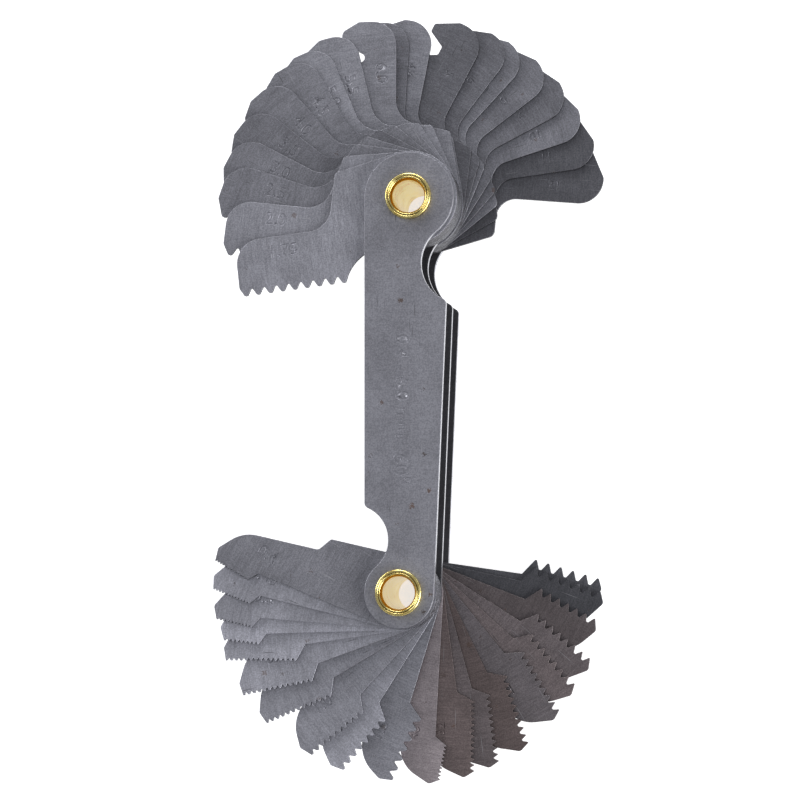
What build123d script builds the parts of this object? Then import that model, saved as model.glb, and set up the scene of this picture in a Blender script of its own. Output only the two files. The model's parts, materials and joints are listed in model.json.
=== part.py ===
from build123d import *
from math import acos, atan2, cos, degrees, floor, hypot, radians, sin, tan
import os

# Folding screw-thread pitch gauge, lying on its back. Millimetres and degrees.
# +X right, +Y towards the coarse end, +Z out of the front cover.

# Pivots, placed so that the origin is under the middle of the opened gauge
COARSE_PIVOT = (0.93, 27.2)
FINE_PIVOT = (COARSE_PIVOT[0] - 1.44, COARSE_PIVOT[1] - 54.83)

# Hollow brass rivets
BORE_R = 2.25
BARREL_R = 2.7
RIM_OUTER_R = 3.2
RIM_HEIGHT = 1.0

# Handle plates
PLATE_T = 1.0
COARSE_LUG_R = 6.25
FINE_LUG_R = 4.85
COARSE_NOTCH = (7.3, -9.35)
FINE_NOTCH = (-6.3, 7.3)
EDGE_TOP_X = 5.2
PLATE_CORNER_R = 0.8

# Leaves
LEAF_T = 0.5
LEAF_GAP = 0.03
HOLE_CLEARANCE = 0.04
PACK_SIZE = 10

# Height of each layer above the table, which the rear rims touch
PACK_T = PACK_SIZE * LEAF_T + (PACK_SIZE + 1) * LEAF_GAP
REAR_COVER_Z = RIM_HEIGHT
REAR_GAP_Z = REAR_COVER_Z + PLATE_T
MIDDLE_PLATE_Z = REAR_GAP_Z + PACK_T
FRONT_GAP_Z = MIDDLE_PLATE_Z + PLATE_T
FRONT_COVER_Z = FRONT_GAP_Z + PACK_T
TOP_Z = FRONT_COVER_Z + PLATE_T + RIM_HEIGHT

INCH = 25.4
TOLERANCE = 0.01


class Thread:
    """Shape of one family of teeth: its flats and rounding radii are fractions of the pitch."""

    def __init__(self, angle, crest_flat, root_flat, crest_r, root_r):
        self.half_angle = angle / 2
        self.crest_flat = crest_flat
        self.root_flat = root_flat
        self.crest_r = crest_r
        self.root_r = root_r

    def depth(self, pitch):
        flank_run = (1 - self.crest_flat - self.root_flat) * pitch / 2
        return flank_run / tan(radians(self.half_angle))


METRIC = Thread(angle=60, crest_flat=0.25, root_flat=0.125, crest_r=0.16, root_r=0.1)
COARSE_WHITWORTH = Thread(angle=55, crest_flat=0.24, root_flat=0.25, crest_r=0.07, root_r=0.07)
FINE_WHITWORTH = Thread(angle=55, crest_flat=0.12, root_flat=0.2, crest_r=0.09, root_r=0.09)


def polar(centre, radius, angle):
    return (centre[0] + radius * cos(radians(angle)), centre[1] + radius * sin(radians(angle)))


def angle_of(start, end):
    return degrees(atan2(end[1] - start[1], end[0] - start[0]))


def rounded_outline(corners):
    """Closed face through corners given as (x, y, rounding radius)."""
    count = len(corners)
    arcs = []
    for i in range(count):
        here = Vector(*corners[i][:2])
        back = (Vector(*corners[i - 1][:2]) - here).normalized()
        ahead = (Vector(*corners[(i + 1) % count][:2]) - here).normalized()
        radius = corners[i][2]
        if radius == 0:
            arcs.append((here, None, here))
            continue
        half = radians(back.get_angle(ahead)) / 2
        reach = radius / tan(half)
        middle = here + (back + ahead).normalized() * (radius / sin(half) - radius)
        arcs.append((here + back * reach, middle, here + ahead * reach))
    edges = []
    for i in range(count):
        start, middle, end = arcs[i]
        if middle is not None:
            edges.append(ThreePointArc(start, middle, end))
        following = arcs[(i + 1) % count][0]
        edges.append(Line(end, following))
    return make_face(edges)


def disc(centre, radius):
    return Pos(*centre) * Circle(radius)


def handle_plate():
    """Outline shared by both covers and the middle plate, from the coarse pivot."""
    coarse = (0, 0)
    fine = (FINE_PIVOT[0] - COARSE_PIVOT[0], FINE_PIVOT[1] - COARSE_PIVOT[1])
    coarse_notch = COARSE_NOTCH
    fine_notch = (fine[0] + FINE_NOTCH[0], fine[1] + FINE_NOTCH[1])
    coarse_notch_r = hypot(*COARSE_NOTCH) - COARSE_LUG_R
    fine_notch_r = hypot(*FINE_NOTCH) - FINE_LUG_R

    # left edge, straight down from the coarse lug to the thumb notch by the fine lug
    left_x = -COARSE_LUG_R
    left_drop = (fine_notch_r**2 - (left_x - fine_notch[0]) ** 2) ** 0.5
    left_corner = (left_x, fine_notch[1] + left_drop)
    left_start = angle_of(fine_notch, left_corner)
    left_end = angle_of(fine_notch, fine)

    # right edge, tangent to the fine lug
    right_drop = (coarse_notch_r**2 - (coarse_notch[0] - EDGE_TOP_X) ** 2) ** 0.5
    right_corner = (EDGE_TOP_X, coarse_notch[1] - right_drop)
    span = hypot(right_corner[0] - fine[0], right_corner[1] - fine[1])
    right_tangent = angle_of(fine, right_corner) - degrees(acos(FINE_LUG_R / span))
    right_foot = polar(fine, FINE_LUG_R, right_tangent)
    right_start = angle_of(coarse_notch, right_corner)
    right_end = angle_of(coarse_notch, coarse) - 360

    fine_lug_start = left_end + 180
    fine_lug_sweep = right_tangent + 360 - fine_lug_start
    coarse_lug_start = right_end + 180
    coarse_lug_sweep = 180 - coarse_lug_start
    edges = [
        Line((left_x, 0), left_corner),
        CenterArc(fine_notch, fine_notch_r, left_start, left_end - left_start),
        CenterArc(fine, FINE_LUG_R, fine_lug_start, fine_lug_sweep),
        Line(right_foot, right_corner),
        CenterArc(coarse_notch, coarse_notch_r, right_start, right_end - right_start),
        CenterArc(coarse, COARSE_LUG_R, coarse_lug_start, coarse_lug_sweep),
    ]
    outline = make_face(edges) - disc(coarse, BARREL_R) - disc(fine, BARREL_R)
    plate = extrude(outline, PLATE_T)
    corners = []
    for edge in plate.edges().filter_by(Axis.Z):
        for corner in (left_corner, right_corner):
            if hypot(edge.center().X - corner[0], edge.center().Y - corner[1]) < TOLERANCE:
                corners.append(edge)
    return fillet(corners, PLATE_CORNER_R)


def eyelet():
    """Hollow rivet with a rolled rim at each end, standing on its rear rim."""
    bead_r = (RIM_OUTER_R - BORE_R) / 2
    bead_x = BORE_R + bead_r
    low = RIM_HEIGHT
    high = TOP_Z - RIM_HEIGHT
    profile = [
        ThreePointArc((BORE_R, bead_r), (bead_x, 0), (RIM_OUTER_R, bead_r)),
        Line((RIM_OUTER_R, bead_r), (RIM_OUTER_R, low)),
        Line((RIM_OUTER_R, low), (BARREL_R, low)),
        Line((BARREL_R, low), (BARREL_R, high)),
        Line((BARREL_R, high), (RIM_OUTER_R, high)),
        Line((RIM_OUTER_R, high), (RIM_OUTER_R, TOP_Z - bead_r)),
        ThreePointArc((RIM_OUTER_R, TOP_Z - bead_r), (bead_x, TOP_Z), (BORE_R, TOP_Z - bead_r)),
        Line((BORE_R, TOP_Z - bead_r), (BORE_R, bead_r)),
    ]
    return revolve(Plane.XZ * make_face(profile), Axis.Z)


def toothed_edge(thread, pitch, crest_v, outer_u, inner_u):
    """Corners of the teeth from the tip end inwards, ending at the last crest's outer corner."""
    crest = thread.crest_flat * pitch
    root = thread.root_flat * pitch
    flank = (pitch - crest - root) / 2
    root_v = crest_v - thread.depth(pitch)
    crest_r = thread.crest_r * pitch
    root_r = thread.root_r * pitch
    corners = [(outer_u, crest_v, crest_r)]
    for i in range(floor((outer_u - inner_u) / pitch)):
        u = outer_u - i * pitch
        corners += [
            (u - crest, crest_v, crest_r),
            (u - crest - flank, root_v, root_r),
            (u - crest - flank - root, root_v, root_r),
            (u - pitch, crest_v, crest_r),
        ]
    return corners


def tangent_line_v(hub_r, slope, u):
    """Height at u of the line that leaves the hub at a tangent on its toothed side."""
    return hub_r / cos(radians(slope)) + u * tan(radians(slope))


# Coarse leaf: u runs out along the teeth from the pivot, v towards the teeth
COARSE_HUB_R = 6.6
COARSE_TIP_R = 3.5
COARSE_END_R = 0.7
COARSE_CREST_START = 10.6
FINGER_NOTCH = (4.6, 12.4)
FINGER_NOTCH_R = 6.0


def coarse_leaf(thread, pitch, crest_v, crest_end, length, back_v, heel, step):
    heel_slope, heel_u, heel_r = heel
    step_u, step_r = step
    heel_foot = polar((0, 0), COARSE_HUB_R, heel_slope - 90)
    heel_v = -tangent_line_v(COARSE_HUB_R, -heel_slope, heel_u)
    # the neck edge is tangent to the hub and to the finger notch
    to_notch = angle_of((0, 0), FINGER_NOTCH)
    spread = degrees(acos((COARSE_HUB_R + FINGER_NOTCH_R) / hypot(*FINGER_NOTCH)))
    neck_foot = polar((0, 0), COARSE_HUB_R, to_notch + spread)
    neck_end = polar(FINGER_NOTCH, FINGER_NOTCH_R, to_notch + spread + 180)
    # the end of the leaf is the outer flank of its last tooth
    end_v = crest_v - (length - crest_end) / tan(radians(thread.half_angle))
    teeth = toothed_edge(thread, pitch, crest_v, crest_end, COARSE_CREST_START)
    last_inner = teeth[-1][0] - thread.crest_flat * pitch
    depth = thread.depth(pitch)
    blade = rounded_outline(
        [
            (0, 0, 0),
            (*heel_foot, 0),
            (heel_u, heel_v, heel_r),
            (step_u, back_v, step_r),
            (length, back_v, COARSE_TIP_R),
            (length, end_v, COARSE_END_R),
            *teeth,
            (last_inner, crest_v, 0),
            (last_inner - depth * tan(radians(thread.half_angle)), crest_v - depth, 0),
            (neck_end[0], crest_v - depth, 0),
            (*neck_end, 0),
            (*neck_foot, 0),
        ]
    )
    face = blade + disc((0, 0), COARSE_HUB_R) - disc(FINGER_NOTCH, FINGER_NOTCH_R)
    return extrude(face - disc((0, 0), BARREL_R + HOLE_CLEARANCE), LEAF_T)


# Fine leaf, in the same local frame
FINE_HUB_R = 5.05
FINE_BACK_SLOPE = 17.5
FINE_SHOULDER_U = 12.1
FINE_SHOULDER_RUN = 0.8
FINE_SHOULDER_STEP = 1.9
FINE_SHOULDER_R = 0.4
FINE_STEP_R = 0.7
FINE_END_R = 0.6
FINE_NECK_SLOPE = 8.3
LONG_CREST_START = 14.9
SHORT_CREST_START = 19.3
SHORT_CREST_PITCH = 0.65


def fine_leaf(thread, pitch, crest_v, crest_end, tip, end):
    """The back slopes from the hub to a shoulder, a step in, and on to the tip."""
    back_foot = polar((0, 0), FINE_HUB_R, FINE_BACK_SLOPE - 90)
    shoulder_v = -tangent_line_v(FINE_HUB_R, -FINE_BACK_SLOPE, FINE_SHOULDER_U)
    step_u = FINE_SHOULDER_U + FINE_SHOULDER_RUN
    step_v = -tangent_line_v(FINE_HUB_R, -FINE_BACK_SLOPE, step_u) + FINE_SHOULDER_STEP
    crest_start = SHORT_CREST_START if pitch < SHORT_CREST_PITCH else LONG_CREST_START
    teeth = toothed_edge(thread, pitch, crest_v, crest_end, crest_start)
    last_inner = teeth[-1][0] - thread.crest_flat * pitch
    neck_foot = polar((0, 0), FINE_HUB_R, FINE_NECK_SLOPE + 90)
    # the inner flank of the last tooth runs on down to the neck
    flank_run = tan(radians(thread.half_angle))
    flank_foot_v = tangent_line_v(FINE_HUB_R, FINE_NECK_SLOPE, last_inner - crest_v * flank_run)
    neck_v = flank_foot_v / (1 - flank_run * tan(radians(FINE_NECK_SLOPE)))
    neck_u = last_inner - (crest_v - neck_v) * flank_run
    tip_u, tip_r = tip
    tip_v = step_v + (tip_u - step_u) * tan(radians(FINE_BACK_SLOPE))
    blade = rounded_outline(
        [
            (0, 0, 0),
            (*back_foot, 0),
            (FINE_SHOULDER_U, shoulder_v, FINE_SHOULDER_R),
            (step_u, step_v, FINE_STEP_R),
            (tip_u, tip_v, tip_r),
            (*end, FINE_END_R),
            *teeth,
            (last_inner, crest_v, 0),
            (neck_u, neck_v, 0),
            (*neck_foot, 0),
        ]
    )
    face = blade + disc((0, 0), FINE_HUB_R)
    return extrude(face - disc((0, 0), BARREL_R + HOLE_CLEARANCE), LEAF_T)


def coarse_metric_leaf(pitch, length, crest_end):
    return coarse_leaf(
        METRIC, pitch, crest_v=10.55, crest_end=crest_end, length=length, back_v=2.75,
        heel=(9.7, 10.1, 0.7), step=(11.9, 3.5),
    )


def coarse_inch_leaf(threads, length, crest_end):
    return coarse_leaf(
        COARSE_WHITWORTH, INCH / threads, crest_v=10.2, crest_end=crest_end, length=length,
        back_v=2.55, heel=(21, 10.7, 1.0), step=(10.75, 2.8),
    )


def fine_metric_leaf(pitch, length, crest_end):
    return fine_leaf(
        METRIC, pitch, crest_v=9.4, crest_end=crest_end, tip=(23.3, 5.0), end=(length, 7.6),
    )


def fine_inch_leaf(threads, length, crest_end):
    return fine_leaf(
        FINE_WHITWORTH, INCH / threads, crest_v=9.6, crest_end=crest_end, tip=(23.6, 4.5),
        end=(length, 8.2),
    )


# Each pack from its front leaf to its rear leaf: marked size, the angle it is swung to, and how
# far its end and its last crest are from the pivot
COARSE_METRIC = [
    (1.75, 186.6, 25.45, 24.8),
    (2.0, 172.8, 25.75, 24.85),
    (2.5, 160.9, 26.3, 24.95),
    (3.0, 151.6, 26.2, 24.85),
    (3.5, 141.1, 26.2, 24.85),
    (4.0, 130.2, 26.35, 25.0),
    (4.5, 119.0, 26.1, 24.8),
    (5.0, 112.6, 26.1, 24.55),
    (5.5, 103.4, 26.1, 24.55),
    (6.0, 89.8, 26.15, 24.75),
]
COARSE_INCH = [
    (4, 86.3, 25.95, 24.2),
    (4.5, 78.6, 25.9, 24.2),
    (5, 61.7, 25.9, 24.2),
    (6, 52.3, 25.9, 24.05),
    (7, 46.6, 25.85, 24.0),
    (8, 36.5, 25.8, 23.95),
    (9, 26.8, 25.75, 23.85),
    (10, 16.9, 25.6, 23.65),
    (11, 6.6, 25.6, 23.6),
    (12, -5.6, 25.55, 23.6),
]
FINE_METRIC = [
    (0.4, 149.3, 25.3, 24.75),
    (0.45, 157.9, 25.4, 24.75),
    (0.5, 166.9, 25.4, 24.6),
    (0.6, 173.3, 24.95, 24.2),
    (0.7, 179.8, 25.25, 24.95),
    (0.75, 191.5, 25.2, 24.95),
    (0.8, 202.2, 25.15, 24.7),
    (1.0, 218.5, 24.85, 24.15),
    (1.25, 229.2, 24.9, 24.2),
    (1.5, 244.5, 24.75, 24.15),
]
FINE_INCH = [
    (48, 258.4, 25.25, 24.4),
    (32, 269.1, 25.4, 24.5),
    (28, 277.2, 25.4, 24.65),
    (24, 287.7, 25.6, 24.8),
    (22, 301.1, 25.5, 24.7),
    (20, 310.0, 25.4, 24.5),
    (19, 319.2, 25.9, 25.0),
    (18, 330.6, 25.25, 24.35),
    (16, 339.3, 25.8, 24.9),
    (14, 343.2, 25.5, 24.65),
]
PACKS = [
    (COARSE_METRIC, coarse_metric_leaf, COARSE_PIVOT, FRONT_GAP_Z, "mm"),
    (COARSE_INCH, coarse_inch_leaf, COARSE_PIVOT, REAR_GAP_Z, "tpi"),
    (FINE_METRIC, fine_metric_leaf, FINE_PIVOT, FRONT_GAP_Z, "mm"),
    (FINE_INCH, fine_inch_leaf, FINE_PIVOT, REAR_GAP_Z, "tpi"),
]


def main():
    os.makedirs("parts", exist_ok=True)
    plate = handle_plate()
    for name, z in (
        ("front_cover", FRONT_COVER_Z),
        ("middle_plate", MIDDLE_PLATE_Z),
        ("rear_cover", REAR_COVER_Z),
    ):
        export_step(Pos(*COARSE_PIVOT, z) * plate, f"parts/{name}.step")
    for name, pivot in (("coarse_eyelet", COARSE_PIVOT), ("fine_eyelet", FINE_PIVOT)):
        export_step(Pos(*pivot) * eyelet(), f"parts/{name}.step")
    for leaves, make_leaf, pivot, gap_z, unit in PACKS:
        for i, (size, angle, length, crest_end) in enumerate(leaves):
            layer = PACK_SIZE - 1 - i
            z = gap_z + LEAF_GAP + layer * (LEAF_T + LEAF_GAP)
            leaf = Location((*pivot, z), (0, 0, angle)) * make_leaf(size, length, crest_end)
            export_step(leaf, f"parts/leaf_{size}_{unit}.step")


main()
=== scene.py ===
import json
from contextlib import contextmanager
from math import cos, pi, radians, sin, tau

import bmesh
import bpy
from mathutils import Matrix, Vector


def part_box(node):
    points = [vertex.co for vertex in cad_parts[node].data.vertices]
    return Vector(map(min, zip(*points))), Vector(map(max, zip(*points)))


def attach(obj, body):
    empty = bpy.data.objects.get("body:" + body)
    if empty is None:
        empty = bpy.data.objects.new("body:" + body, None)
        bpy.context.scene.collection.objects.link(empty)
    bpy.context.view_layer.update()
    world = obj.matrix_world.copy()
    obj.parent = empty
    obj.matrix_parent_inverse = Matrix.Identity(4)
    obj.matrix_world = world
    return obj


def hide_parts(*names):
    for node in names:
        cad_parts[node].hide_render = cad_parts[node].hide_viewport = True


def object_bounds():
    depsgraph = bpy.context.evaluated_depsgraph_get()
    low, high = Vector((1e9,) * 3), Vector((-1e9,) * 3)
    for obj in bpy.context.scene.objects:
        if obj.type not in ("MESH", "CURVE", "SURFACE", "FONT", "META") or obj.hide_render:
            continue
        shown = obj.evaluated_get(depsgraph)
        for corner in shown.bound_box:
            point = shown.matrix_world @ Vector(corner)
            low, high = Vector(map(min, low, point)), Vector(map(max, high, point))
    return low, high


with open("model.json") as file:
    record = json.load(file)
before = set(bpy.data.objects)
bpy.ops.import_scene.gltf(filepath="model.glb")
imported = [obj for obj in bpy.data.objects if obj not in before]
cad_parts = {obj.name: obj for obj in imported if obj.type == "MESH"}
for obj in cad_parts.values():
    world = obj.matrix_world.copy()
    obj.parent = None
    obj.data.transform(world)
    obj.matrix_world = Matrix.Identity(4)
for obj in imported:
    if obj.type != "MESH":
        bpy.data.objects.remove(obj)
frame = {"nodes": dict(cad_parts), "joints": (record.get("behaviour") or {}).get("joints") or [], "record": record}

MM = 0.001
CAD_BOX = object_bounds()
MIDDLE = (CAD_BOX[0] + CAD_BOX[1]) / 2
MOUNTS = {mount["name"]: mount for mount in frame["record"]["mounts"]}
HANDLE = "handle"
PLATES = ("front_cover", "middle_plate", "rear_cover")
EYELETS = ("coarse_eyelet", "fine_eyelet")

# Directions in which a folded leaf points, degrees
COARSE_FOLDED = 250
FINE_FOLDED = 70

# How light each leaf's steel is beside the others: partly the leaf's own tone, partly painted sheen for the light
# each leaf catches at its own slant
TONE_AND_SHEEN = {
    "mm": {
        1.75: 1.07, 2.0: 1.0, 2.5: 0.78, 3.0: 0.75, 3.5: 0.61, 4.0: 0.71, 4.5: 0.78, 5.0: 1.0,
        5.5: 0.97, 6.0: 0.9, 0.4: 0.81, 0.45: 1.2, 0.5: 1.18, 0.6: 1.5, 0.7: 1.35, 0.75: 1.28,
        0.8: 1.04, 1.0: 1.06, 1.25: 1.28, 1.5: 0.96,
    },
    "tpi": {
        4: 0.72, 4.5: 0.9, 5: 0.52, 6: 0.56, 7: 0.79, 8: 0.71, 9: 0.61, 10: 0.79, 11: 0.38, 12: 0.4,
        14: 0.35, 16: 0.27, 18: 0.37, 19: 0.52, 20: 0.57, 22: 0.5, 24: 0.36, 28: 0.45, 32: 0.45, 48: 1.02,
    },
}
# The fine inch leaves have browned, each by its own amount, and 14 and 16 not at all
BROWNING = {18: 0.18, 19: 0.17, 20: 0.2, 22: 0.12, 24: 0.28, 28: 0.18, 32: 0.26, 48: 0.14}

# Steel this old is dulled by a thin oxide, so it is not a full mirror
METAL = 0.6
GRAIN_DEPTH = 0.22
DARK_RUST = (0.03, 0.02, 0.014, 1)
LIGHT_RUST = (0.10, 0.048, 0.026, 1)

PALE_BRASS = (0.95, 0.82, 0.34, 1)
DEEP_BRASS = (0.78, 0.58, 0.18, 1)
STAINED_BRASS = (0.30, 0.17, 0.06, 1)
# Rings painted on a rivet's rim, a brown painted reflection on the lip and a dark painted shade in the groove:
# inner and outer radius in mm, strength and colour
PAINTED_RIM_RINGS = (
    (2.28, 2.48, 0.9, (0.62, 0.30, 0.04, 1)),
    (2.70, 2.80, 0.85, (0.26, 0.15, 0.03, 1)),
)

# Corners nearer than MERGE, in mm, are one. A bend stays flat below FLAT_BEND, an edge is rounded
# above ROUNDED_BEND, and the finished shading breaks above SHARP_BEND.
MERGE = 0.0005
FLAT_BEND = radians(0.5)
ROUNDED_BEND = radians(35)
SHARP_BEND = radians(50)
# A face belongs to a piece's side when its normal rises or falls by less than this
SIDE_RISE = 0.3
# Widths of the rounded edges, mm
LEAF_ROUNDING = 0.05
PLATE_ROUNDING = 0.08

# Each piece reads its patterns at one of these places, so many mm apart
PATTERN_STEP = 40
PATTERN_PLACES = 97

# Height of a capital as a share of the font's size
CAPITAL_HEIGHT = 0.72
# A leaf's number: its place along and across the leaf from the pivot, height and depth, mm
NUMBER_PLACE = (18.7, 4.9)
NUMBER_HEIGHTS = {"mm": 1.8, "tpi": 1.3}
NUMBER_DEPTH = 0.08
# The cover's stamps: text, height and place from the cover's middle, and their depth, mm
COVER_STAMPS = (("60°", 2.3, (-1.2, -11.1)), ("0.4 - 6.0 mm", 2.0, (-1.0, 0.4)))
COVER_STAMP_DEPTH = 0.035

RIM_BEAD_STEPS = 8
RIVET_STEPS = 96

FLOOR_SIZE = 6
FLOOR_GLOW = 0.68
FLOOR_GREYS = ((0.90, 0.90, 0.90, 1), (0.93, 0.93, 0.93, 1))
SKY = (0.93, 0.95, 1.0, 1)
SKY_OVERHEAD = 0.38
SKY_HORIZON = 0.1
# Place and size in metres, and power in watts
SOFTBOXES = {
    "left_softbox": ((-0.60, 0.30, 0.25), (0.5, 0.3), 3),
    "right_softbox": ((0.60, -0.25, 0.30), (0.5, 0.3), 4.5),
    "far_softbox": ((0.05, 0.75, 0.25), (0.6, 0.25), 4),
}
# Lens in mm, place in metres, turn in degrees
CAMERA_LENS = 120.6
CAMERA_PLACE = (0.05844, -0.03182, 0.37819)
CAMERA_TURN = (4.757, 9.188, -0.069)


# ---------------------------------------------------------------- node materials

class Nodes:
    """A node material being built. Inputs are given by name, as a value or another node's output."""

    def __init__(self, name):
        self.material = bpy.data.materials.new(name)
        self.material.use_nodes = True
        self.tree = self.material.node_tree
        self.tree.nodes.clear()

    def node(self, kind, settings=None, **inputs):
        node = self.tree.nodes.new(kind)
        for name, value in (settings or {}).items():
            setattr(node, name, value)
        for name, value in inputs.items():
            self.put(node.inputs[name.replace("_", " ")], value)
        return node

    def put(self, socket, value):
        if isinstance(value, bpy.types.NodeSocket):
            self.tree.links.new(value, socket)
        else:
            socket.default_value = value

    def math(self, operation, a, b):
        node = self.node("ShaderNodeMath", {"operation": operation})
        self.put(node.inputs[0], a)
        self.put(node.inputs[1], b)
        return node.outputs[0]

    def mapped(self, vector, scale, turn=0.0):
        return self.node(
            "ShaderNodeMapping", Vector=vector, Scale=scale, Rotation=(0, 0, radians(turn))
        ).outputs[0]

    def noise(self, vector, scale, detail, roughness=0.5):
        return self.node(
            "ShaderNodeTexNoise", Vector=vector, Scale=scale, Detail=detail, Roughness=roughness
        ).outputs[0]

    def ramp(self, value, low, high, start=0.0, end=1.0):
        """Value from low to high becomes start to end, smoothly, and stays there beyond them."""
        node = self.node("ShaderNodeMapRange", {"interpolation_type": "SMOOTHSTEP"})
        for socket, number in zip(node.inputs, (value, low, high, start, end)):
            self.put(socket, number)
        return node.outputs[0]

    def band(self, value, low, high, soft=0.04):
        """1 where value is between low and high, falling to 0 outside."""
        rise = self.ramp(value, low - soft, low + soft)
        fall = self.ramp(value, high - soft, high + soft, 1, 0)
        return self.math("MULTIPLY", rise, fall)

    def mix(self, share, a, b, blend="MIX"):
        node = self.node("ShaderNodeMix", {"data_type": "RGBA", "blend_type": blend})
        self.put(node.inputs[0], share)
        self.put(node.inputs[6], a)
        self.put(node.inputs[7], b)
        return node.outputs[2]

    def cover(self, colour, mask, strength, paint):
        """Colour with paint over it, as strong as that where mask is 1."""
        return self.mix(self.math("MULTIPLY", mask, strength), colour, paint)

    def shade(self, colour, level):
        """Colour made darker or lighter by a level around 1."""
        levels = self.node("ShaderNodeCombineColor", Red=level, Green=level, Blue=level)
        return self.mix(1.0, colour, levels.outputs[0], "MULTIPLY")

    def attribute(self, name, output="Vector"):
        return self.node("ShaderNodeAttribute", {"attribute_name": name}).outputs[output]

    def bump(self, height, distance, strength):
        return self.node(
            "ShaderNodeBump", Height=height, Distance=distance * MM, Strength=strength
        ).outputs[0]

    def finish(self, **inputs):
        shader = self.node("ShaderNodeBsdfPrincipled", **inputs)
        self.node("ShaderNodeOutputMaterial", Surface=shader.outputs[0])
        return self.material


def grey(value, warmth=0.0):
    """A steel colour, slightly blue, or browner with warmth."""
    return (value * (1 + warmth), value, value * (1.06 - warmth / 2), 1)


def thin_marks(nodes, vector, length, width, turn, share):
    """Short straight marks of that length and width in mm, where share is how many cells hold one."""
    stretched = nodes.mapped(vector, (1 / length, 1 / width, 1), turn)
    cells = nodes.node("ShaderNodeTexVoronoi", Vector=stretched, Scale=0.5)
    place = nodes.node("ShaderNodeSeparateColor", Color=cells.outputs["Color"]).outputs[0]
    chosen = nodes.math("LESS_THAN", place, share)
    return nodes.math("MULTIPLY", nodes.ramp(cells.outputs["Distance"], 0.1, 0.25, 1, 0), chosen)


def brushed_steel(name, tone, streak=1.0, rust=0.5, streak_turn=0.0):
    """Steel brushed across its length, with pits, rust specks and scratches. The mesh gives
    `along`, its place in mm along and across the piece and up from its back, and a colour for the
    piece: its own tone, and on the leaves also painted sheen."""
    nodes = Nodes(name)
    place = nodes.attribute("along")
    brushing = nodes.noise(nodes.mapped(place, (7, 0.35, 1), streak_turn), 1.0, 3, 0.6)
    fine = nodes.noise(nodes.mapped(place, (16, 1.2, 1), streak_turn), 1.0, 2, 0.6)
    cloud = nodes.noise(place, 0.16, 3, 0.55)
    grain = nodes.noise(place, 5.5, 2, 0.7)

    level = nodes.ramp(cloud, 0.3, 0.7, 0.88, 1.1)
    for pattern, low, high, depth in (
        (brushing, 0.25, 0.75, 0.13 * streak),
        (fine, 0.3, 0.7, 0.1 * streak),
        (grain, 0.3, 0.7, GRAIN_DEPTH),
    ):
        level = nodes.math("MULTIPLY", level, nodes.ramp(pattern, low, high, 1 - depth, 1 + depth))
    colour = nodes.mix(1.0, grey(tone), nodes.attribute("tint", "Color"), "MULTIPLY")
    colour = nodes.shade(colour, level)

    scratches = thin_marks(nodes, place, 4.0, 0.09, 24, 0.14)
    colour = nodes.cover(colour, scratches, 0.4, grey(min(1.0, tone * 1.7)))
    scored = nodes.ramp(nodes.noise(place, 0.13, 1, 0.5), 0.56, 0.64)
    scored = nodes.math("MULTIPLY", scored, thin_marks(nodes, place, 2.6, 0.16, 88, 0.5))
    colour = nodes.cover(colour, scored, 0.7, grey(tone * 0.25))

    # Rust specks are cells with a random radius and a ragged outline
    dots = nodes.node("ShaderNodeTexVoronoi", Vector=place, Scale=0.42)
    size = nodes.node("ShaderNodeSeparateColor", Color=dots.outputs["Color"])
    radius = nodes.ramp(size.outputs[0], 0.5, 1.0, 0.0, 0.17)
    ragged = nodes.math("ADD", dots.outputs["Distance"], nodes.ramp(grain, 0.2, 0.8, -0.1, 0.1))
    speck = nodes.ramp(nodes.math("SUBTRACT", ragged, radius), -0.05, 0.0, 1, 0)
    speck = nodes.math("MULTIPLY", speck, rust)
    colour = nodes.mix(speck, colour, nodes.mix(size.outputs[1], DARK_RUST, LIGHT_RUST))

    roughness = nodes.ramp(brushing, 0.2, 0.8, 0.38, 0.5)
    roughness = nodes.math("ADD", roughness, nodes.math("MULTIPLY", speck, 0.3))
    height = nodes.math("ADD", nodes.math("MULTIPLY", fine, 0.5), nodes.math("MULTIPLY", grain, 0.5))
    height = nodes.math("SUBTRACT", height, nodes.math("MULTIPLY", scored, 0.5))
    return nodes.finish(
        Base_Color=colour,
        Metallic=nodes.ramp(speck, 0, 1, METAL, 0.3 * METAL),
        Roughness=roughness,
        Normal=nodes.bump(height, 0.014, 0.6),
    )


def sheared_edge(name, thickness, bright, fracture_and_shade, break_at):
    """The cut side of a sheet: darker up to break_at mm from the sheet's back, bright above it. The darker band is
    partly a dull fracture zone and partly painted shade for the contact shadow at the sheet's edge.
    """
    nodes = Nodes(name)
    place = nodes.attribute("along")
    height = nodes.node("ShaderNodeSeparateXYZ", Vector=place).outputs["Z"]
    striped = nodes.noise(nodes.mapped(place, (9, 9, 0.6)), 1.0, 2, 0.6)
    patchy = nodes.noise(place, 1.3, 3, 0.6)
    height = nodes.math("ADD", height, nodes.ramp(patchy, 0.3, 0.7, -0.08 * thickness, 0.08 * thickness))
    burnished = nodes.ramp(height, break_at - 0.1 * thickness, break_at + 0.1 * thickness)
    colour = nodes.mix(burnished, grey(fracture_and_shade), grey(bright))
    return nodes.finish(
        Base_Color=nodes.shade(colour, nodes.ramp(striped, 0.3, 0.7, 0.85, 1.1)),
        Metallic=1.0,
        Roughness=nodes.ramp(burnished, 0, 1, 0.6, 0.35),
        Normal=nodes.bump(striped, 0.02, 0.5),
    )


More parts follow.
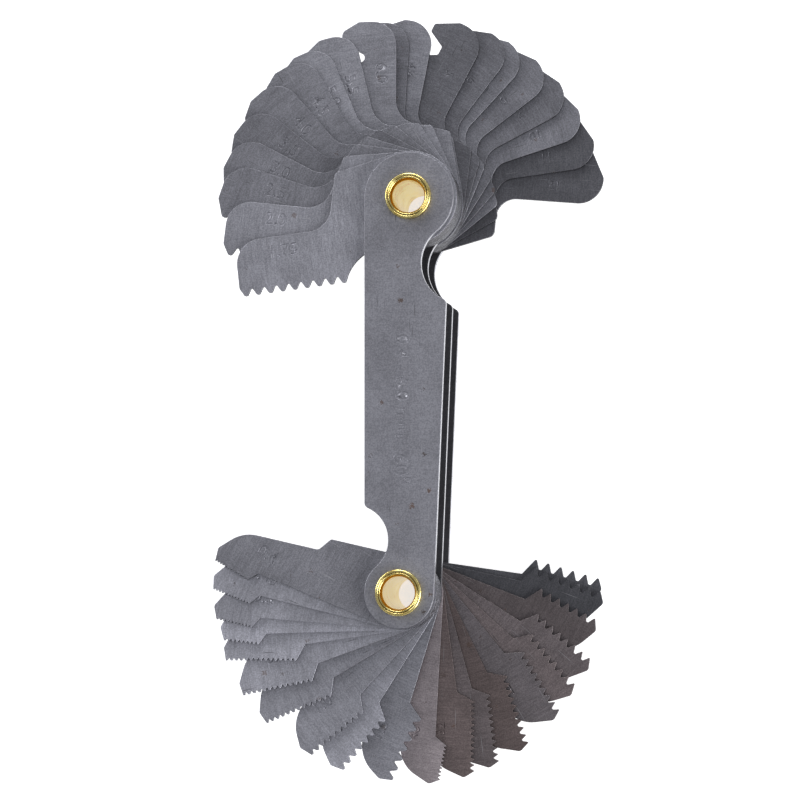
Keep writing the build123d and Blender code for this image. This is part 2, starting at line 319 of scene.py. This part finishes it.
def polished_brass():
    """Brass with a painted brown reflection on the lip and painted shade in the groove of each rim.
    `along` starts with the distance in mm from the rivet's axis."""
    nodes = Nodes("polished_brass")
    place = nodes.mapped(nodes.node("ShaderNodeTexCoord").outputs["Object"], (1 / MM,) * 3)
    radius = nodes.node("ShaderNodeSeparateXYZ", Vector=nodes.attribute("along")).outputs["X"]
    cloud = nodes.noise(place, 0.7, 3, 0.6)
    turning = nodes.noise(nodes.mapped(place, (1, 1, 6)), 2.5, 3, 0.6)
    colour = nodes.mix(nodes.ramp(cloud, 0.35, 0.7), PALE_BRASS, DEEP_BRASS)
    # Painted rings: a brown reflection on the lip and shade in the groove
    for inner, outer, strength, ring_paint in PAINTED_RIM_RINGS:
        colour = nodes.cover(colour, nodes.band(radius, inner, outer), strength, ring_paint)
    stains = nodes.ramp(nodes.noise(place, 2.2, 4, 0.7), 0.58, 0.72)
    return nodes.finish(
        Base_Color=nodes.cover(colour, stains, 0.4, STAINED_BRASS),
        Metallic=1.0,
        Roughness=nodes.ramp(turning, 0.3, 0.75, 0.18, 0.3),
        Normal=nodes.bump(turning, 0.002, 0.2),
    )


LEAF_STEEL = brushed_steel("leaf_steel", tone=0.31)
# Painted shade: the leaf's side is near black below break_at, partly the dull fracture zone, partly the dark
# contact line along each leaf's edge
SHADED_LEAF_EDGE = sheared_edge("leaf_edge", thickness=0.5, bright=0.5, fracture_and_shade=0.02, break_at=0.4)
COVER_STEEL = brushed_steel("cover_steel", tone=0.285, streak=0.5, rust=0.8, streak_turn=65)
# Painted shade: the plate faces that look into the handle are near black, standing in for the shade the plates
# cast on each other
SHADED_INNER_STEEL = brushed_steel("inner_steel", tone=0.06, streak=0.5, rust=0.3)
COVER_EDGE = sheared_edge("cover_edge", thickness=1.0, bright=0.6, fracture_and_shade=0.3, break_at=0.35)
BRASS = polished_brass()


# ---------------------------------------------------------------- pieces

def link(name, data):
    item = bpy.data.objects.new(name, data)
    bpy.context.scene.collection.objects.link(item)
    return item


@contextmanager
def edited(mesh):
    """The mesh as a bmesh, written back at the end."""
    bm = bmesh.new()
    bm.from_mesh(mesh)
    yield bm
    bm.to_mesh(mesh)
    bm.free()


def clean_copy(node, name):
    """A copy of a CAD node's mesh with shared corners and flat faces in one piece."""
    mesh = frame["nodes"][node].data.copy()
    with edited(mesh) as bm:
        bmesh.ops.remove_doubles(bm, verts=bm.verts, dist=MERGE * MM)
        bmesh.ops.dissolve_limit(
            bm, angle_limit=FLAT_BEND, verts=bm.verts, edges=bm.edges, delimit={"NORMAL"}
        )
    mesh.materials.clear()
    return link(name, mesh)


def settle(piece):
    """Applies the piece's modifiers to its mesh."""
    graph = bpy.context.evaluated_depsgraph_get()
    mesh = bpy.data.meshes.new_from_object(piece.evaluated_get(graph))
    piece.modifiers.clear()
    piece.data = mesh


def round_edges(piece, width):
    bevel = piece.modifiers.new("edges", "BEVEL")
    bevel.width = width * MM
    bevel.segments = 2
    bevel.limit_method = "ANGLE"
    bevel.angle_limit = ROUNDED_BEND
    settle(piece)


def stamp(piece, text, height, centre, turn, top_z, depth):
    """Cuts text into the piece's upper face. Its strokes have sloping sides."""
    letters = bpy.data.curves.new("stamp", "FONT")
    letters.body = text
    letters.size = height * MM / CAPITAL_HEIGHT
    letters.align_x = "CENTER"
    letters.align_y = "CENTER"
    letters.resolution_u = 3
    letters.bevel_depth = depth * MM
    letters.offset = -0.5 * depth * MM
    writing = link("stamp", letters)
    bpy.context.view_layer.update()
    mesh = bpy.data.meshes.new_from_object(writing)
    bpy.data.objects.remove(writing)
    with edited(mesh) as bm:
        bmesh.ops.remove_doubles(bm, verts=bm.verts, dist=MERGE * MM)
        bmesh.ops.recalc_face_normals(bm, faces=bm.faces)
    mesh.transform(Matrix.Translation((*centre, top_z)) @ Matrix.Rotation(turn, 4, "Z"))
    cutter = link("stamp_cutter", mesh)
    cut = piece.modifiers.new("stamp", "BOOLEAN")
    cut.operation = "DIFFERENCE"
    cut.solver = "MANIFOLD"
    cut.object = cutter
    settle(piece)
    bpy.data.objects.remove(cutter)


def describe(piece, origin, angle, tint):
    """Gives the mesh the attributes that brushed_steel reads."""
    mesh = piece.data
    u = Vector((cos(angle), sin(angle), 0))
    v = Vector((-sin(angle), cos(angle), 0))
    mesh.attributes.new("along", "FLOAT_VECTOR", "POINT")
    mesh.attributes.new("tint", "FLOAT_COLOR", "POINT")
    shift = PATTERN_STEP * (sum(map(ord, piece.name)) % PATTERN_PLACES)
    back = min(vertex.co.z for vertex in mesh.vertices)
    for vertex, place, colour in zip(
        mesh.vertices, mesh.attributes["along"].data, mesh.attributes["tint"].data
    ):
        out = vertex.co - origin
        place.vector = (out.dot(u) / MM + shift, out.dot(v) / MM, (vertex.co.z - back) / MM)
        colour.color = tint


def dress(piece, body, node, front, back, side):
    """Finishes a piece, with a material for the faces that look up, down and sideways."""
    mesh = piece.data
    for polygon in mesh.polygons:
        rise = polygon.normal.z
        material = side if abs(rise) < SIDE_RISE else front if rise > 0 else back
        if material.name not in mesh.materials:
            mesh.materials.append(material)
        polygon.material_index = mesh.materials.find(material.name)
        polygon.use_smooth = True
    mesh.set_sharp_from_angle(angle=SHARP_BEND)
    flat = piece.modifiers.new("flat", "WEIGHTED_NORMAL")
    flat.keep_sharp = True
    settle(piece)
    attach(piece, body)
    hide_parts(node)


def build_leaf(joint):
    """A leaf with its size stamped on it. The joint's lower limit is the folded place, so it also
    gives the leaf's direction at rest."""
    node = joint["child"]
    size, unit = node.split("_")[1:]
    pivot = Vector(joint["pos_m"])
    folded = COARSE_FOLDED if pivot.y > MIDDLE.y else FINE_FOLDED
    angle = radians(folded - joint["axis"][2] * joint["range_deg"][0])
    piece = clean_copy(node, node + "_steel")
    round_edges(piece, LEAF_ROUNDING)
    u = Vector((cos(angle), sin(angle)))
    v = Vector((-sin(angle), cos(angle)))
    centre = pivot.xy + (NUMBER_PLACE[0] * u + NUMBER_PLACE[1] * v) * MM
    text = size if unit == "mm" else size.replace("4.5", "4½")
    stamp(piece, text, NUMBER_HEIGHTS[unit], centre, angle + pi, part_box(node)[1].z, NUMBER_DEPTH)
    browning = BROWNING.get(float(size), 0.0) if unit == "tpi" else 0.0
    # The leaf's colour holds its own tone, its browning and its painted sheen
    describe(piece, pivot, angle, grey(TONE_AND_SHEEN[unit][float(size)], browning))
    dress(piece, node, node, LEAF_STEEL, LEAF_STEEL, SHADED_LEAF_EDGE)


def build_plate(node):
    piece = clean_copy(node, node + "_steel")
    round_edges(piece, PLATE_ROUNDING)
    low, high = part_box(node)
    centre = (low + high) / 2
    if node == "front_cover":
        for text, height, (x, y) in COVER_STAMPS:
            place = (centre.x + x * MM, centre.y + y * MM)
            stamp(piece, text, height, place, -pi / 2, high.z, COVER_STAMP_DEPTH)
    describe(piece, centre, pi / 2, grey(1.0))
    # Faces inside the handle take the steel with painted shade
    front = COVER_STEEL if node == "front_cover" else SHADED_INNER_STEEL
    back = COVER_STEEL if node == "rear_cover" else SHADED_INNER_STEEL
    dress(piece, HANDLE, node, front, back, COVER_EDGE)


def bead(centre_r, centre_z, radius, first, last):
    """Points of one rolled ring of the rim, from one angle to another, as (radius, height) in mm."""
    turns = [
        radians(first + (last - first) * i / RIM_BEAD_STEPS) for i in range(RIM_BEAD_STEPS + 1)
    ]
    return [(centre_r + radius * cos(turn), centre_z + radius * sin(turn)) for turn in turns]


def rim_profile(inner, outer):
    """From the bore out to the rim's edge and back under it to the barrel, with heights down from
    the rim's top in mm: a sloping lip, a narrow ring, a groove and a wide ring."""
    return (
        [(inner, -0.9), (inner + 0.02, -0.6), (inner + 0.23, -0.2)]
        + bead(inner + 0.37, -0.14, 0.14, 155, 15)
        + bead(outer - 0.23, -0.24, 0.23, 150, 0)
        + [(outer, -0.94), (outer - 0.06, -1.0), (outer - 0.5, -1.0)]
    )


def build_eyelet(node):
    """The rivet as one turned surface: barrel inside the leaves and a rolled rim at each end."""
    bore = MOUNTS[node + "_bore"]
    centre = Vector(bore["pos_m"])
    low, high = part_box(node)
    rim = rim_profile(bore["dims"]["r_mm"], (high.x - low.x) / 2 / MM)
    profile = [(r * MM, high.z + z * MM) for r, z in rim]
    profile += [(r * MM, low.z - z * MM) for r, z in reversed(rim)]
    mesh = bpy.data.meshes.new(node)
    with edited(mesh) as bm:
        ring = [bm.verts.new((centre.x + r, centre.y, z)) for r, z in profile]
        edges = [bm.edges.new((ring[i - 1], ring[i])) for i in range(len(ring))]
        bmesh.ops.spin(
            bm, geom=ring + edges, cent=(centre.x, centre.y, 0), axis=(0, 0, 1), angle=tau,
            steps=RIVET_STEPS, use_merge=True,
        )
        bmesh.ops.remove_doubles(bm, verts=bm.verts, dist=0.2 * MERGE * MM)
        bmesh.ops.recalc_face_normals(bm, faces=bm.faces)
    piece = link(node + "_brass", mesh)
    mesh.attributes.new("along", "FLOAT_VECTOR", "POINT")
    for vertex, place in zip(mesh.vertices, mesh.attributes["along"].data):
        place.vector = ((vertex.co - centre).xy.length / MM, 0, (vertex.co.z - low.z) / MM)
    dress(piece, HANDLE, node, BRASS, BRASS, BRASS)


for joint in frame["joints"]:
    build_leaf(joint)
for plate in PLATES:
    build_plate(plate)
for eyelet in EYELETS:
    build_eyelet(eyelet)


# ---------------------------------------------------------------- floor, light and camera

def build_floor():
    nodes = Nodes("floor")
    place = nodes.node("ShaderNodeTexCoord").outputs["Object"]
    colour = nodes.mix(nodes.noise(place, 6, 3), *FLOOR_GREYS)
    bpy.ops.mesh.primitive_plane_add(size=FLOOR_SIZE, location=(0, 0, CAD_BOX[0].z))
    floor = bpy.context.object
    floor.name = "floor"
    floor.data.materials.append(
        nodes.finish(
            Base_Color=colour, Roughness=0.9, Emission_Color=(1, 1, 1, 1), Emission_Strength=FLOOR_GLOW
        )
    )


def build_world():
    """A pale studio, brighter overhead than at the horizon."""
    world = bpy.data.worlds.new("studio")
    world.use_nodes = True
    tree = world.node_tree
    background = tree.nodes["Background"]
    background.inputs["Color"].default_value = SKY
    direction = tree.nodes.new("ShaderNodeTexCoord")
    parts = tree.nodes.new("ShaderNodeSeparateXYZ")
    strength = tree.nodes.new("ShaderNodeMapRange")
    strength.inputs["To Min"].default_value = SKY_HORIZON
    strength.inputs["To Max"].default_value = SKY_OVERHEAD
    tree.links.new(direction.outputs["Generated"], parts.inputs[0])
    tree.links.new(parts.outputs["Z"], strength.inputs["Value"])
    tree.links.new(strength.outputs[0], background.inputs["Strength"])
    bpy.context.scene.world = world


def build_softbox(name, place, size, power):
    """A flat light aimed at the middle of the object."""
    light = bpy.data.lights.new(name, "AREA")
    light.shape = "RECTANGLE"
    light.size, light.size_y = size
    light.energy = power
    lamp = link(name, light)
    lamp.location = place
    lamp.rotation_euler = (MIDDLE - Vector(place)).to_track_quat("-Z", "Y").to_euler()


def build_camera():
    camera = link("camera", bpy.data.cameras.new("camera"))
    camera.data.lens = CAMERA_LENS
    camera.location = CAMERA_PLACE
    camera.rotation_euler = [radians(turn) for turn in CAMERA_TURN]
    bpy.context.scene.camera = camera


build_floor()
build_world()
for name, (place, size, power) in SOFTBOXES.items():
    build_softbox(name, place, size, power)
build_camera()
bpy.context.scene.view_settings.view_transform = "Standard"

bpy.context.view_layer.update()
